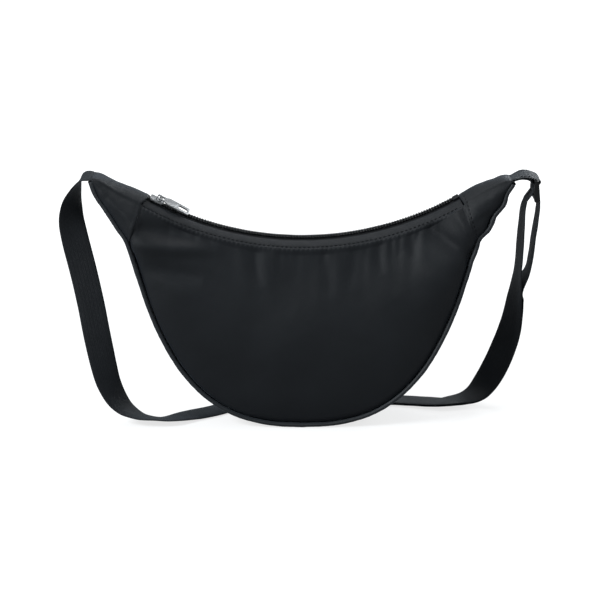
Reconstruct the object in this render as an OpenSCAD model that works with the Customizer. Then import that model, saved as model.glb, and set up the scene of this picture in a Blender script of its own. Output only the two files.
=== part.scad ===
// Half moon shoulder bag of soft cloth, with a curved zip, two ears and a webbing strap.
// It stands on its gusset. X runs along the bag, -Y is its front, +Z is up. Millimetres.

/* [Bag body] */
// Height of the zip tape above the base, at the middle of the bag
mid_height = 170.9; // [150:0.1:200]
// Radius of the arc that the zip follows
zip_radius = 284; // [270:1:330]
// Straight distance between the ends of the zip opening
zip_span = 285; // [260:1:300]
// Distance from the middle of the bag to the tip of an ear
half_length = 190; // [180:1:215]
// Height of the left ear's tip
left_ear_height = 228.5; // [222:0.5:240]
// Height of the right ear's tip
right_ear_height = 226.5; // [220:0.5:240]
// Width of the gusset at the base
base_width = 64; // [50:1:80]
// How far the filled panels swell past the gusset
belly = 9; // [3:0.5:16]
// How far the gusset bows out between its two pipings
gusset_bow = 4; // [2.8:0.1:7]
// Thickness of the outer cloth
cloth = 1; // [0.6:0.1:1.4]
// Thickness of the lining
lining_cloth = 0.5; // [0.3:0.1:0.8]
// Diameter of the piping
piping_d = 4; // [3:0.1:5]

/* [Zip] */
// Width of the gap between the two facings
zip_gap = 11.2; // [10.6:0.1:14]
// Width of the facing, from the zip to the panel
facing_width = 8.6; // [7:0.1:12]
// How far the front facing drops over its width
front_drop = 6.2; // [3:0.1:8]
// How far the back facing drops over its width
back_drop = 4.4; // [3:0.1:8]
// Lean of the zip towards the front, in degrees
zip_lean = 12; // [0:1:16]
// Thickness of the zip tape
tape_thick = 0.6; // [0.4:0.1:0.8]
// Distance between the teeth of one row
tooth_pitch = 2.6; // [2.4:0.1:3.4]
// Reach of a tooth across the tape
tooth_reach = 3.4; // [3:0.1:3.8]
// Height of a tooth over the tape
tooth_height = 2; // [1.6:0.1:2.4]
// Length of the slider's body
slider_length = 13; // [11:0.5:16]
// Width of the slider's body
slider_width = 9.6; // [9:0.1:10.2]
// Thickness of each of the slider's two plates
slider_plate = 1.1; // [0.9:0.1:1.4]
// Length of the pull, from its hinge bar
pull_length = 29; // [22:0.5:36]
// Width of the pull
pull_width = 10; // [8:0.1:12]
// Thickness of the pull
pull_thick = 1.4; // [1:0.1:1.6]

/* [Strap and adjuster] */
// Width of the webbing
webbing_width = 25; // [20:0.5:25.5]
// Thickness of the webbing
webbing_thick = 1.4; // [1:0.1:1.6]
// Diameter of the adjuster's bars
bar_d = 3.2; // [2.8:0.1:3.4]
// Height of each of the adjuster's two slots
slot_height = 4.8; // [4.6:0.1:6]
// Width of each side rail of the adjuster
rail_width = 3; // [2.5:0.1:4]
// Thickness of the adjuster's side rails
rail_thick = 5; // [4:0.1:6]

/* [Hidden] */

// Gap between neighbouring pieces that are sewn together
seam_gap = 0.3;
// Running clearance of the slider and the pull
run_gap = 0.4;
// Clearance of the teeth and stops on their tapes
seat_gap = 0.06;
// Extra length of cuts, so that they go right through
overrun = 1;

// Stations run from 0 at the middle of the bag to 1 at an ear's tip
seam_share = 8 / 12;
// Bottom edge of the bag, at equal steps of station: shares of half_length and of the ear's height
bottom_shares = [[0, 0], [0.163, 0.0085], [0.325, 0.046], [0.463, 0.119], [0.576, 0.222], [0.661, 0.342],
    [0.728, 0.472], [0.780, 0.608], [0.832, 0.748], [0.876, 0.806], [0.926, 0.872], [0.974, 0.932], [1, 0.989]];

zip_centre = mid_height + zip_radius;
seam_angle = asin(zip_span / 2 / zip_radius);
half_base = base_width / 2;
half_tip = webbing_width / 2 + seam_gap + piping_d / 2;
piping_r = piping_d / 2;
tip_height = 2 * webbing_thick + 2 * cloth + 4 * seam_gap;
shoulder = (zip_gap / 2) + facing_width;
ear_lift = 2 * cloth;
ear_arch = 0.9 * cloth;

// The rows of a surface, or the rings of a tube, are joined by flat triangles
function flat_list(lists) = [for (row = lists) for (item = row) item];
function unit(v) = v / norm(v);
function mix(a, b, t) = a + (b - a) * t;
function clamp(value, low, high) = min(high, max(low, value));

// Smooth curve through a list of points, at a position counted in points
function curve_piece(a, b, c, d, t) =
    0.5 * (2 * b + (c - a) * t + (2 * a - 5 * b + 4 * c - d) * t * t + (3 * b - a - 3 * c + d) * t * t * t);
function curve_at(points, position) = let (
    last = len(points) - 1,
    i = clamp(floor(position), 0, last - 1),
    before = i == 0 ? 2 * points[0] - points[1] : points[i - 1],
    after = i + 2 > last ? 2 * points[last] - points[last - 1] : points[i + 2]
) curve_piece(before, points[i], points[i + 1], after, position - i);

// Outlines of the bag in its middle plane, at a station from -1 at the left tip to 1 at the right tip
function ear_height(s) = s < 0 ? left_ear_height : right_ear_height;
function mirrored_share(s) = let (p = curve_at(bottom_shares, abs(s) * (len(bottom_shares) - 1))) p;
function bottom_at(s) = let (
    share = mirrored_share(s),
    side = s < 0 ? -1 : 1,
    tip = ear_height(s) - tip_height / 2
) [side * share[0] * half_length, piping_r + share[1] / 0.989 * (tip - piping_r)];
function zip_line_at(s) = let (a = s / seam_share * seam_angle)
    [zip_radius * sin(a), zip_centre - zip_radius * cos(a)];
step_share = 1 / 200;
function bottom_direction(s) = unit(bottom_at(min(1, s + step_share)) - bottom_at(max(-1, s - step_share)));
// Near the tips the panels' lower edge leans out from the piping, so that an ear closes upright
tip_lean_share = 0.95;
tip_start_share = 0.93;
function inner_bottom_at(s) = let (
    along = bottom_direction(s),
    lean = sign(s) * tip_lean_share * clamp((abs(s) - tip_start_share) / (1 - tip_start_share), 0, 1)
) bottom_at(s) + (piping_r + seam_gap + cloth * 0.9) * unit([-along[1], along[0]] + lean * along);
function ear_top_at(s) = let (
    side = s < 0 ? -1 : 1,
    q = (abs(s) - seam_share) / (1 - seam_share),
    foot = zip_line_at(side * seam_share) + [side * cloth, ear_lift],
    tip = [side * half_length, ear_height(s) + tip_height / 2]
) mix(foot, tip, q) + [0, ear_arch * 4 * q * (1 - q)];
function top_at(s) = abs(s) <= seam_share ? zip_line_at(s) : ear_top_at(s);

// Half widths of the section at a station: at the gusset, and at the shoulder below the zip
function gusset_half(s) = half_tip + (half_base - half_tip) * pow(cos(90 * abs(s)), 1.3);
function ear_share(s) = clamp((abs(s) - seam_share) / (1 - seam_share), 0, 1);
function shoulder_half(s) = mix(shoulder, half_tip - cloth / 2, ear_share(s));
function shoulder_drop(s, drop) = mix(drop, cloth / 2, ear_share(s));

// A point of a panel: side is -1 in front and 1 behind, w runs from the shoulder to the bottom edge,
// and sink takes the point inwards, away from the outer surface
function panel_depth(s, w) = shoulder_half(s) + (gusset_half(s) - shoulder_half(s)) * sin(90 * w)
    + belly * pow(cos(90 * abs(s)), 0.8) * sin(180 * pow(w, 1.25));
function panel_point(s, w, side, sink = 0) = let (
    top = top_at(s),
    bottom = inner_bottom_at(s),
    drop = shoulder_drop(s, side < 0 ? front_drop : back_drop) + cloth / 2 + sink,
    start = drop / norm(bottom - top),
    p = mix(top, bottom, mix(start, 1, w))
) [p[0], side * (panel_depth(s, w) - sink), p[1]];

// A sheet of cloth: a grid of outer points and its copy one thickness below, or a given inner grid
function grid_normal(g, i, j) = let (
    along = g[min(i + 1, len(g) - 1)][j] - g[max(i - 1, 0)][j],
    across = g[i][min(j + 1, len(g[0]) - 1)] - g[i][max(j - 1, 0)]
) unit(cross(along, across));
function sunk_grid(g, depth) = [for (i = [0 : len(g) - 1]) [for (j = [0 : len(g[0]) - 1])
    g[i][j] - depth * grid_normal(g, i, j)]];
module sheet(outer, thickness) { double_sheet(outer, sunk_grid(outer, thickness)); }
module double_sheet(outer, inner) {
    rows = len(outer);
    columns = len(outer[0]);
    back = rows * columns;
    outside = [for (i = [0 : rows - 2]) for (j = [0 : columns - 2]) let (k = i * columns + j)
        each [[k, k + 1, k + columns], [k + 1, k + columns + 1, k + columns]]];
    inside = [for (f = outside) [back + f[2], back + f[1], back + f[0]]];
    rim = concat([for (i = [0 : rows - 1]) i * columns],
        [for (j = [1 : columns - 1]) (rows - 1) * columns + j],
        [for (i = [1 : rows - 1]) (rows - 1 - i) * columns + columns - 1],
        [for (j = [1 : columns - 2]) columns - 1 - j]);
    count = len(rim);
    border = [for (k = [0 : count - 1]) let (a = rim[k], b = rim[(k + 1) % count])
        each [[a, b, b + back], [a, b + back, a + back]]];
    polyhedron(concat(flat_list(outer), flat_list(inner)), concat(outside, inside, border));
}

// A tube or strip: rings of points, closed at both ends
module loft(rings) {
    count = len(rings[0]);
    last = (len(rings) - 1) * count;
    walls = [for (i = [0 : len(rings) - 2]) for (j = [0 : count - 1]) let (
        a = i * count + j, b = i * count + (j + 1) % count)
        each [[a, b, a + count], [b, b + count, a + count]]];
    near = [for (j = [1 : count - 2]) [0, j + 1, j]];
    far = [for (j = [1 : count - 2]) [last, last + j, last + j + 1]];
    polyhedron(flat_list(rings), concat(walls, near, far));
}

// Panels and ears
panel_rows = 30;
panel_columns = 9;
ear_rows = 10;
top_columns = 5;
seam_gap_share = seam_gap / half_length;
function panel_grid(side) = [for (i = [0 : panel_rows]) let (
    s = mix(-1, 1, i / panel_rows) * (seam_share - seam_gap_share))
    [for (j = [0 : panel_columns]) panel_point(s, (side < 0 ? j : panel_columns - j) / panel_columns, side)]];
module panel(side) { sheet(panel_grid(side), cloth); }
module front_panel() { color("#24272b") panel(-1); }
module back_panel() { color("#212428") panel(1); }

// An ear's section runs from the front bottom edge over the top to the back bottom edge
function ear_cap_point(s, y_share, sink) = let (
    top = top_at(s),
    drop = shoulder_drop(s, y_share < 0 ? front_drop : back_drop) * y_share * y_share + sink,
    down = unit(bottom_at(s) - top)
) [top[0] + down[0] * drop, y_share * (shoulder_half(s) - sink), top[1] + down[1] * drop];
function ear_section(s, sink) = concat(
    [for (j = [0 : panel_columns - 1]) panel_point(s, 1 - j / panel_columns, -1, sink)],
    [for (j = [0 : top_columns]) ear_cap_point(s, mix(-1, 1, j / top_columns) * (1 - seam_gap_share), sink)],
    [for (j = [1 : panel_columns]) panel_point(s, j / panel_columns, 1, sink)]);
function ear_grid(side, sink) = [for (i = [0 : ear_rows]) let (
    q = side < 0 ? 1 - i / ear_rows : i / ear_rows,
    s = side * mix(seam_share + seam_gap_share, 1, pow(q, 0.85)))
    ear_section(s, sink)];
module ear(side) { double_sheet(ear_grid(side, -cloth), ear_grid(side, 0)); }
module left_ear() { color("#2a2d31") ear(-1); }
module right_ear() { color("#2a2d31") ear(1); }

// The gusset runs from tip to tip under the bag, and is pressed flat where it stands
gusset_rows = 60;
gusset_columns = 8;
function gusset_point(s, y_share) = let (
    p = bottom_at(s),
    along = bottom_direction(s),
    half = gusset_half(s) - piping_r - seam_gap,
    base_bow = piping_r + cloth * 0.6,
    bow = mix(base_bow, gusset_bow, clamp(abs(s) * 3, 0, 1)) * (1 - pow(abs(y_share), 4))
) [p[0] + along[1] * bow, y_share * half, max(0, p[1] - along[0] * bow)];
module gusset() {
    color("#15171a")
        sheet([for (i = [0 : gusset_rows]) let (s = mix(-1, 1, i / gusset_rows))
            [for (j = [0 : gusset_columns]) gusset_point(s, 1 - 2 * j / gusset_columns)]], cloth);
}

// Piping: a round cord in a cloth cover, along each edge of the gusset
piping_rings = 64;
piping_sides = 8;
function piping_point(s, side) = let (p = bottom_at(s)) [p[0], side * gusset_half(s), p[1]];
function piping_ring(s, side) = let (
    p = piping_point(s, side),
    ahead = piping_point(min(1, s + step_share), side),
    behind = piping_point(max(-1, s - step_share), side),
    along = unit(ahead - behind),
    out = unit(cross(along, [0, 1, 0])),
    across = cross(out, along)
) [for (k = [0 : piping_sides - 1]) let (a = 360 * k / piping_sides)
    p + piping_r * (cos(a) * out + sin(a) * across)];
module piping(side) {
    loft([for (i = [0 : piping_rings]) piping_ring(mix(-1, 1, i / piping_rings), side)]);
}
module front_piping() { color("#2b2e32") piping(-1); }
module back_piping() { color("#2b2e32") piping(1); }

// Zip places: a is the angle along the arc, y runs across the tape, h stands up from it
function zip_angle(length) = length / zip_radius * 180 / PI;
function leaned(y, h) = [y * cos(zip_lean) - h * sin(zip_lean), y * sin(zip_lean) + h * cos(zip_lean)];
module zip_sweep(from, to) {
    translate([0, 0, zip_centre]) rotate([-90, 0, 0]) rotate([0, 0, 90 - to])
        rotate_extrude(angle = to - from, $fn = 360) children();
}
module zip_profile(points) {
    polygon([for (p = points) [zip_radius - p[1], p[0]]]);
}
module on_zip(a) {
    translate([0, 0, zip_centre]) rotate([0, -a, 0]) translate([0, 0, -zip_radius])
        rotate([zip_lean, 0, 0]) children();
}

// Facings: folded strips that frame the zip, from its gap down to the panels
fold_height = tape_thick / 2 + seam_gap + cloth;
facing_end = seam_angle - zip_angle(seam_gap);
function facing_edge(side) = leaned(side * zip_gap / 2, fold_height);
function facing_foot(side) = [side * shoulder, -(side < 0 ? front_drop : back_drop)];
function facing_down(side) = let (d = unit(facing_foot(side) - facing_edge(side))) [d[1], -d[0]] * side;
module facing(side) {
    edge = facing_edge(side);
    foot = facing_foot(side);
    down = facing_down(side) * cloth;
    zip_sweep(-facing_end, facing_end) zip_profile([edge, foot, foot + down, edge + down]);
}
module front_facing() { color("#303438") facing(-1); }
module back_facing() { color("#2c3034") facing(1); }

// Tapes: woven strips that carry the teeth and are sewn under the facings
neck_width = 2;
tape_start = neck_width / 2 + run_gap;
tape_knee = zip_gap / 2 - 2 * seam_gap;
tape_margin = 0.9 * facing_width;
function tape_foot(side) = let (
    along = unit(facing_foot(side) - facing_edge(side)),
    below = facing_down(side) * (cloth + seam_gap + tape_thick / 2)
) facing_foot(side) + below + along * (tape_margin - facing_width);
module tape(side) {
    half = tape_thick / 2;
    near = leaned(side * tape_start, -half);
    near_top = leaned(side * tape_start, half);
    knee = leaned(side * tape_knee, -half);
    knee_top = leaned(side * tape_knee, half);
    foot = tape_foot(side);
    down = facing_down(side) * half;
    zip_sweep(-facing_end, facing_end)
        zip_profile([near_top, knee_top, foot - down, foot + down, knee, near]);
}
module front_tape() { color("#1d1f22") tape(-1); }
module back_tape() { color("#1d1f22") tape(1); }

// Teeth: bars across the tape on a cord, in two rows that mesh by half a pitch
teeth_reach_past = 0.4;
tooth_width = 1;
cord_width = 0.9;
stop_length = 3;
stop_gap = run_gap;
left_stop_angle = -seam_angle + zip_angle(stop_length + 2 * seam_gap);
chain_start = left_stop_angle + zip_angle(slider_length * 0.45);
chain_end = seam_angle - zip_angle(2 * stop_length + 2 * seam_gap);
tooth_step = zip_angle(tooth_pitch);
tooth_count = floor((chain_end - chain_start) / tooth_step);
module tooth(side) {
    root = tooth_reach - teeth_reach_past;
    translate([0, 0, tape_thick / 2 + seat_gap]) linear_extrude(tooth_height)
        polygon([[-tooth_width / 2, side * root], [-tooth_width / 2, 0], [-tooth_width / 3, -side * teeth_reach_past],
            [tooth_width / 3, -side * teeth_reach_past], [tooth_width / 2, 0], [tooth_width / 2, side * root]]);
}
module teeth(side) {
    root = tooth_reach - teeth_reach_past;
    cord_end = root + 2 * seat_gap;
    shift = side < 0 ? 0 : tooth_step / 2;
    low = tape_thick / 2 + seat_gap;
    high = low + tooth_height * 0.8;
    for (k = [0 : tooth_count - 1]) on_zip(chain_start + shift + tooth_step * (k + 0.25)) tooth(side);
    zip_sweep(chain_start, chain_start + tooth_step * tooth_count)
        zip_profile([leaned(side * (root - cord_width), low), leaned(side * (root - cord_width), high),
            leaned(side * cord_end, high), leaned(side * cord_end, low)]);
}
module front_teeth() { color("#17181a") teeth(-1); }
module back_teeth() { color("#17181a") teeth(1); }

// Stops at both ends of the chain
module zip_stop(a, length) {
    on_zip(a) translate([-length / 2, -tooth_reach, tape_thick / 2 + seat_gap])
        cube([length, 2 * tooth_reach, tooth_height]);
}
module left_zip_stop() {
    color("#8d8f92") zip_stop(-seam_angle + zip_angle(stop_length / 2 + seam_gap), stop_length);
}
module right_zip_stop() {
    color("#8d8f92") zip_stop(seam_angle - zip_angle(stop_length + seam_gap), 2 * stop_length);
}

// Slider: two plates joined by a neck, with side lips and a bridge that holds the pull
slider_angle = left_stop_angle + zip_angle(slider_length / 2 + run_gap);
slider_low = -tape_thick / 2 - run_gap;
slider_high = tape_thick / 2 + seat_gap + tooth_height + run_gap;
slider_rear_share = 0.92;
lip_height = 0.6;
neck_length = slider_length * 0.3;
bridge_width = 2;
bridge_bar = 0.9;
bridge_length = 5.2;
bridge_end = 0.32 * slider_length;
pull_bar_d = 1.6;
pull_rise = 1.6;
bridge_height = pull_rise + pull_bar_d + 2 * run_gap + bridge_bar;
pull_hinge_height = slider_high + slider_plate + pull_rise + run_gap + pull_bar_d / 2;
pull_hinge_place = bridge_end - bridge_bar - run_gap - pull_bar_d / 2;
module slider_outline() {
    front = slider_width / 2;
    rear = front * slider_rear_share;
    long = slider_length / 2;
    corner = slider_width / 6;
    offset(r = corner) offset(delta = -corner)
        polygon([[-long, -front], [-long, front], [0, front], [long, rear], [long, -rear], [0, -front]]);
}
module bridge_outline(inset) {
    low = bridge_end - bridge_length + inset;
    high = bridge_end - inset;
    top = slider_high + slider_plate + bridge_height - inset;
    foot = slider_high + slider_plate / 2 + inset / 2;
    bevel = bridge_bar - inset / 3;
    polygon([[low, foot], [low, top - bevel], [low + bevel, top], [high - bevel, top], [high, top - bevel],
        [high, foot]]);
}
module slider_lips(low, high) {
    difference() {
        translate([0, 0, low]) linear_extrude(high - low) slider_outline();
        translate([-slider_length, -tooth_reach - run_gap, low - overrun])
            cube([2 * slider_length, 2 * (tooth_reach + run_gap), high - low + 2 * overrun]);
    }
}
module zip_slider() {
    color("#b4b6b9") on_zip(slider_angle) {
        translate([0, 0, slider_low - slider_plate]) linear_extrude(slider_plate) slider_outline();
        translate([0, 0, slider_high]) linear_extrude(slider_plate) slider_outline();
        slider_lips(slider_high - lip_height, slider_high + slider_plate / 2);
        translate([-slider_length / 2 + neck_width / 4, 0, slider_low - slider_plate / 2])
            linear_extrude(slider_high - slider_low + slider_plate)
                polygon([[0, -neck_width / 2], [neck_length, 0], [0, neck_width / 2]]);
        rotate([90, 0, 0]) linear_extrude(bridge_width, center = true) difference() {
            bridge_outline(0);
            bridge_outline(bridge_bar);
        }
    }
}

// Pull: a flat tab with a slot, and an eye whose bar runs under the slider's bridge
eye_width = bridge_width + 4 * run_gap;
eye_length = bridge_length - bridge_bar - run_gap;
pull_slot_length = 9.6;
pull_slot_width = 4.8;
pull_end_margin = 1.4;
eye_rail = 1.4;
pull_neck = eye_width + 2 * eye_rail;
module pull_outline() {
    difference() {
        offset(r = pull_width / 6) offset(delta = -pull_width / 6)
            polygon([[0, -pull_neck / 2], [eye_length + eye_rail, -pull_neck / 2],
                [eye_length + 3 * eye_rail, -pull_width / 2], [pull_length, -pull_width / 2],
                [pull_length, pull_width / 2], [eye_length + 3 * eye_rail, pull_width / 2],
                [eye_length + eye_rail, pull_neck / 2], [0, pull_neck / 2]]);
        translate([-overrun, -eye_width / 2]) square([eye_length + overrun, eye_width]);
        for (end = [0, 1])
            translate([pull_length - pull_end_margin - pull_slot_width / 2
                - end * (pull_slot_length - pull_slot_width), 0]) circle(d = pull_slot_width, $fn = 48);
        translate([pull_length - pull_end_margin - pull_slot_length + pull_slot_width / 2, -pull_slot_width / 2])
            square([pull_slot_length - pull_slot_width, pull_slot_width]);
    }
}
module zip_pull() {
    color("#c3c5c8") on_zip(slider_angle) translate([pull_hinge_place, 0, pull_hinge_height]) {
        translate([0, 0, -pull_thick / 2]) linear_extrude(pull_thick) pull_outline();
        rotate([90, 0, 0]) cylinder(d = pull_bar_d, h = pull_neck, center = true, $fn = 48);
    }
}

// Lining: an inner bag of two halves that hangs from the tapes
lining_rows = 24;
lining_reach_share = 0.93 * seam_share;
lining_columns = 10;
lining_room = 2.9 * cloth;
lining_top = cloth + 2 * seam_gap;
function lining_point(s, w, side) = let (
    top = top_at(s),
    bottom = bottom_at(s) + [0, lining_room],
    length = norm(bottom - top),
    start = (side < 0 ? front_drop : back_drop) / length,
    down = mix(start + lining_top / length, 1, sin(90 * w)),
    beside = (down - start) / (1 - start),
    p = mix(top, bottom, down),
    depth = (panel_depth(s, beside) - lining_room) * (1 - pow(w, 12)) + seam_gap
) [p[0], side * depth, p[1]];
module lining(side) {
    sheet([for (i = [0 : lining_rows]) let (s = mix(-1, 1, i / lining_rows) * lining_reach_share)
        [for (j = [0 : lining_columns])
            lining_point(s, (side < 0 ? j : lining_columns - j) / lining_columns, side)]], lining_cloth);
}
module front_lining() { color("#3a3d42") lining(-1); }
module back_lining() { color("#3a3d42") lining(1); }

// Adjuster: a ladder frame of three round bars between two rails, hanging edge-on from the tab
tab_reach = 20.7;
adjuster_x = half_length + tab_reach;
adjuster_top = right_ear_height - webbing_thick;
bar_step = bar_d + slot_height;
adjuster_half = webbing_width / 2 + 2 * seam_gap + rail_width;
centre_bar_z = adjuster_top - bar_step;
module adjuster_rail(side) {
    translate([adjuster_x, side * (adjuster_half - rail_width / 2), 0]) rotate([90, 0, 0])
        linear_extrude(rail_width, center = true) hull() {
            translate([0, adjuster_top]) circle(d = rail_thick * 0.76, $fn = 48);
            translate([0, centre_bar_z]) circle(d = rail_thick, $fn = 48);
            translate([0, adjuster_top - 2 * bar_step]) circle(d = rail_thick * 0.8, $fn = 48);
        }
}
module strap_adjuster() {
    color("#1c1e20") {
        for (side = [-1, 1]) adjuster_rail(side);
        for (k = [0 : 2])
            translate([adjuster_x, 0, adjuster_top - k * bar_step]) rotate([90, 0, 0])
                cylinder(d = bar_d, h = 2 * adjuster_half - rail_width, center = true, $fn = 48);
    }
}

// Webbing: a flat strip along a route, with the direction of its width at each step
function ribbon_ring(point, along, width_way, width, thick) = let (
    t = unit(along),
    w = unit(width_way - (width_way * t) * t),
    n = cross(t, w)
) [point - w * width / 2 + n * thick / 2, point + w * width / 2 + n * thick / 2,
    point + w * width / 2 - n * thick / 2, point - w * width / 2 - n * thick / 2];
module ribbon(route, ways, width, thick) {
    last = len(route) - 1;
    loft([for (i = [0 : last])
        ribbon_ring(route[i], route[min(i + 1, last)] - route[max(i - 1, 0)], ways[i], width, thick)]);
}

// Places in the flat pocket between an ear's layers, at a station, and the way across its layers
pocket_depth_share = 0.33;
function in_pocket(s) = let (p = mix(ear_top_at(s), bottom_at(s), pocket_depth_share)) [p[0], 0, p[1]];
pocket_shares = [0.9, 0.955];
pocket_across = let (d = unit(in_pocket(pocket_shares[1]) - in_pocket(pocket_shares[0]))) [-d[2], 0, d[0]];

// Tab: webbing from the right ear, over the adjuster's top bar and back under it
loop_r = bar_d / 2 + seam_gap + webbing_thick / 2;
layer_step = webbing_thick + seam_gap;
// Places along the tab: X as a share of the way from the ear to the adjuster, Z as a share of loop_r
tab_shares = [[0, 0.32], [0.24, 1.15], [0.47, 1.85], [0.7, 1.95], [0.92, 1.62], [1.1, 1.05], [1.2, 0.5],
    [1.22, -0.1], [1.15, -0.7], [1.0, -1.02], [0.85, -1.0], [0.65, -0.85], [0.4, -0.6], [0.15, -0.38],
    [0, -0.42]];
function tab_place(p) = [half_length + p[0] * tab_reach, 0,
    mix(right_ear_height, adjuster_top, clamp(p[0], 0, 1)) + p[1] * loop_r];
module adjuster_tab() {
    above = [for (s = pocket_shares) in_pocket(s) + pocket_across * layer_step / 2];
    below = [for (s = pocket_shares) in_pocket(s) - pocket_across * layer_step / 2];
    points = concat(above, [for (p = tab_shares) tab_place(p)], [below[1], below[0]]);
    steps = 3 * (len(points) - 1);
    route = [for (k = [0 : steps]) curve_at(points, k / 3)];
    color("#33363a") ribbon(route, [for (p = route) [0, 1, 0]], webbing_width - seam_gap, webbing_thick);
}

// Strap route from the left ear to the floor: X, Y, Z as shares of half_length, half_base and the
// left ear's height, then the turn of the width away from Y and its lift off the level, in degrees
left_shares = [[-1, 0, 1, 0, 0], [-1.035, -0.01, 0.999, 3, 0], [-1.06, -0.02, 0.982, 10, 0],
    [-1.082, -0.03, 0.942, 24, 0], [-1.1, -0.04, 0.890, 42, 0], [-1.105, -0.05, 0.826, 60, 0],
    [-1.089, -0.07, 0.744, 76, 0], [-1.053, -0.1, 0.612, 86, 0], [-1.021, -0.14, 0.480, 86, 0],
    [-0.994, -0.2, 0.349, 80, 0], [-0.962, -0.28, 0.218, 66, 0], [-0.938, -0.34, 0.150, 56, 0],
    [-0.898, -0.42, 0.088, 45, 0], [-0.85, -0.52, 0.050, 34, -2], [-0.785, -0.64, 0.028, 20, -7],
    [-0.704, -0.68, 0.0205, 6, -11], [-0.64, -0.57, 0.016, -6, -7], [-0.543, -0.12, 0.0105, -18, 2],
    [-0.447, 0.28, 0.0085, -25, 3]];
floor_shares = [[-0.33, 0.98, 0.006, -28, 0], [-0.2, 1.5, 0.007, -18, 0], [-0.05, 1.75, 0.009, -6, 0],
    [0.1, 1.8, 0.012, 2, 0], [0.25, 1.65, 0.0135, 8, 0], [0.38, 1.4, 0.0145, 9, 0], [0.542, 1.2, 0.016, 7, 0],
    [0.64, 1.02, 0.019, -5, -1], [0.70, 0.94, 0.022, -14, -4]];
// From the floor up to the adjuster: X as a share of half_length from the adjuster, Z as a share of its height
right_shares = [[-0.362, 0.99, 0.026, -24, -2], [-0.287, 1.08, 0.037, -36, 0], [-0.231, 1.12, 0.066, -47, 0],
    [-0.184, 1.08, 0.122, -55, 0], [-0.150, 0.98, 0.185, -58, 0], [-0.124, 0.87, 0.249, -56, 0],
    [-0.0986, 0.75, 0.3265, -50, 0], [-0.083, 0.64, 0.398, -41, 0], [-0.075, 0.54, 0.473, -34, 0],
    [-0.069, 0.44, 0.552, -27, 0], [-0.065, 0.35, 0.626, -20, 0], [-0.060, 0.26, 0.6995, -13, 0],
    [-0.058, 0.17, 0.772, -10, 0], [-0.056, 0.08, 0.845, -8, 0], [-0.053, 0, 0.9164, -4, 0],
    [-0.042, 0, 0.956, 0, 0]];
// The free end runs back from the adjuster, meets the strap at merge_place and lies on its outer side
tail_shares = [[0.019, 0, 0.954, 0, 0], [0.017, 0.05, 0.917, -3, 0], [0.003, 0.13, 0.848, -8, 0],
    [-0.005, 0.22, 0.774, -11, 0], [-0.014, 0.31, 0.696, -15, 0], [-0.036, 0.38, 0.627, -20, 0]];
function strap_place(p) = [p[0] * half_length, p[1] * half_base, p[2] * left_ear_height, p[3], p[4]];
function hung_place(p) = [adjuster_x + p[0] * half_length, p[1] * half_base, p[2] * centre_bar_z, p[3], p[4]];
function place_of(p) = [p[0], p[1], p[2]];
function way_of(p) = [sin(p[3]) * cos(p[4]), cos(p[3]) * cos(p[4]), sin(p[4])];
pocket_points = [for (s = pocket_shares) concat(in_pocket(-s), [0, 0])];
main_points = concat(pocket_points, [for (p = concat(left_shares, floor_shares)) strap_place(p)],
    [for (p = right_shares) hung_place(p)]);
tail_points = [for (p = tail_shares) hung_place(p)];
merge_place = len(main_points) - 7;
tail_end_place = len(pocket_points) + len(left_shares) + 4;
curve_steps = 3;
function main_at(k) = curve_at(main_points, k);
function main_normal(k) = let (
    t = unit(place_of(main_at(k + 1 / 10)) - place_of(main_at(k - 1 / 10))),
    w = way_of(main_at(k))
) cross(t, unit(w - (w * t) * t));

module shoulder_strap() {
    bar = [adjuster_x, 0, centre_bar_z];
    main = [for (k = [0 : curve_steps * (len(main_points) - 1)]) main_at(k / curve_steps)];
    over = [for (a = [212 : -22 : -12]) bar + loop_r * [cos(a), 0, sin(a)]];
    free = [for (k = [0 : curve_steps * (len(tail_points) - 1)]) curve_at(tail_points, k / curve_steps)];
    joined = [for (k = [curve_steps * merge_place : -1 : curve_steps * tail_end_place]) k / curve_steps];
    places = concat([for (p = main) place_of(p)], over, [for (p = free) place_of(p)],
        [for (k = joined) place_of(main_at(k)) - (layer_step + seam_gap) * main_normal(k)]);
    ways = concat([for (p = main) way_of(p)], [for (p = over) [0, 1, 0]], [for (p = free) way_of(p)],
        [for (k = joined) way_of(main_at(k))]);
    color("#2d3034") ribbon(places, ways, webbing_width, webbing_thick);
}

front_panel();
back_panel();
gusset();
front_piping();
back_piping();
left_ear();
right_ear();
front_facing();
back_facing();
front_tape();
back_tape();
front_teeth();
back_teeth();
left_zip_stop();
right_zip_stop();
zip_slider();
zip_pull();
front_lining();
back_lining();
shoulder_strap();
adjuster_tab();
strap_adjuster();
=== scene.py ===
import math
import bmesh
import bpy
import numpy as np
from mathutils import Matrix


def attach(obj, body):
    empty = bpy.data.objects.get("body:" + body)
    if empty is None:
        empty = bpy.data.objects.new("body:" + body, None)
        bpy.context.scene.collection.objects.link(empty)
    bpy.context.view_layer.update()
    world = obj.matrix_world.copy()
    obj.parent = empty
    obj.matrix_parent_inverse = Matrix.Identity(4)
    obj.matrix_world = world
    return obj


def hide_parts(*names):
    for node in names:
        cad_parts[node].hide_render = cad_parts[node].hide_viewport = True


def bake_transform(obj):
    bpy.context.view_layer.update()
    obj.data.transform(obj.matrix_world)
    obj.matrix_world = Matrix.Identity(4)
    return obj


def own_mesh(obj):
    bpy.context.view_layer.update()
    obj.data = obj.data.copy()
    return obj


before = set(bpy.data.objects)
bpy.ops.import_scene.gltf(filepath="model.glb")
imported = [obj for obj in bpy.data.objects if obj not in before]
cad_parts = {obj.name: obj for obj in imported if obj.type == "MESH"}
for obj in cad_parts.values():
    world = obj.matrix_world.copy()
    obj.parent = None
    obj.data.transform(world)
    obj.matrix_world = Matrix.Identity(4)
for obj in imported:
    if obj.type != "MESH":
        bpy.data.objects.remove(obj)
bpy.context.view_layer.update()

MM = 0.001

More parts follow.
